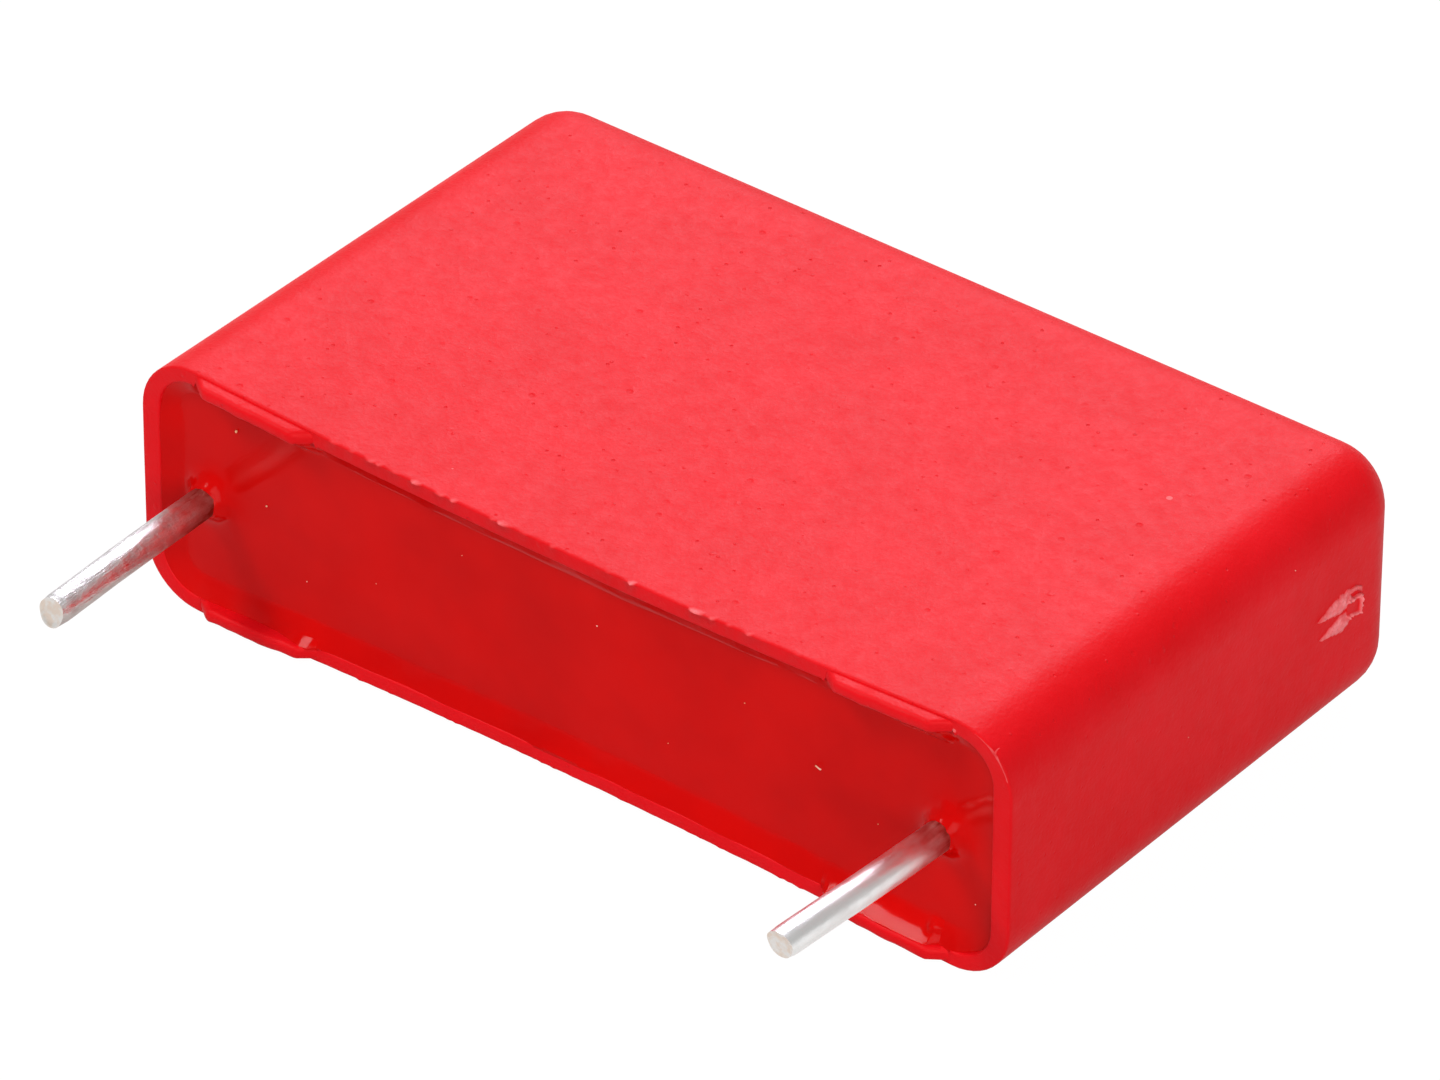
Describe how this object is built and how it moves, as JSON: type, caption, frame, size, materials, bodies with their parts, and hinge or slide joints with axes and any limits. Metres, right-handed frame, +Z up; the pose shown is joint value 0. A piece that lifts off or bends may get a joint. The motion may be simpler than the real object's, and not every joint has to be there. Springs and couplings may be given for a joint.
{
  "type": "box film capacitor",
  "caption": "Flat rectangular box capacitor: a red moulded case filled with red resin, with standoff feet on its open rim and a straight wire lead near each end.",
  "frame": {"origin": "centre of the bounding box, on the surface the part lies on", "axes": "+X along the case from the left lead to the right lead, -Y the way the leads point, +Z up through the case's thickness, lying on a large face"},
  "size_m": [0.0267, 0.022, 0.0071],
  "materials": {
    "case": "fine spark-eroded moulded red",
    "resin": "glossy cast red resin",
    "film_roll": "metallised film",
    "sprayed_metal": "sprayed matt metal",
    "tinned_wire": "bright tinned wire"
  },
  "bodies": {
    "root": {"case": "case", "potting": "resin", "winding": "film_roll", "end_contact_left": "sprayed_metal", "end_contact_right": "sprayed_metal", "lead_left": "tinned_wire", "lead_right": "tinned_wire"}
  },
  "joints": []
}
